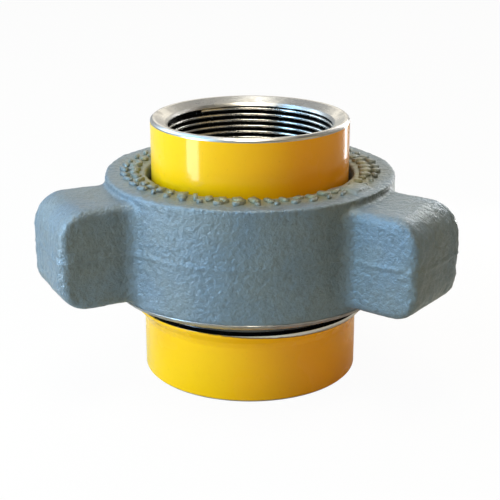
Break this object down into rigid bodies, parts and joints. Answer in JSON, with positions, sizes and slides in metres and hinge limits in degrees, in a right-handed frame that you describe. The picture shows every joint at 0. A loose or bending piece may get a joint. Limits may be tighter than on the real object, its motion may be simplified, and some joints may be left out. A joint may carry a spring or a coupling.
{
  "type": "hammer union",
  "caption": "Three-lug hammer union for three-inch line pipe: two yellow subs drawn together by a grey forged wing nut on a coarse union thread.",
  "frame": {"origin": "centre of the threaded sub's foot, on the union's axis", "axes": "+Z along the union's axis, out of the nose sub; one hammer lug points along +Y"},
  "size_m": [0.2094, 0.1842, 0.134],
  "materials": {
    "sub_paint": "gloss",
    "nut_paint": "satin",
    "seal_rubber": "matte",
    "bare_steel": "machined"
  },
  "bodies": {
    "threaded_end": {"threaded_sub": "sub_paint", "seal_ring": "seal_rubber"},
    "nose_end": {"nose_sub": "sub_paint"},
    "nut": {"wing_nut": "nut_paint"}
  },
  "joints": [
    {"name": "nose_slide", "type": "slide", "parent": "threaded_end", "child": "nose_end", "axis": [0, 0, 1], "range_m": [-0.00005, 0.0225]},
    {"name": "nut_turn", "type": "hinge", "parent": "nose_end", "child": "nut", "pos_m": [0, 0, 0.077], "axis": [0, 0, 1], "range_deg": [0, 1260]}
  ],
  "couplings": [
    {"joint": "nose_slide", "follows": "nut_turn", "m_per_rad": 0.0010106}
  ]
}
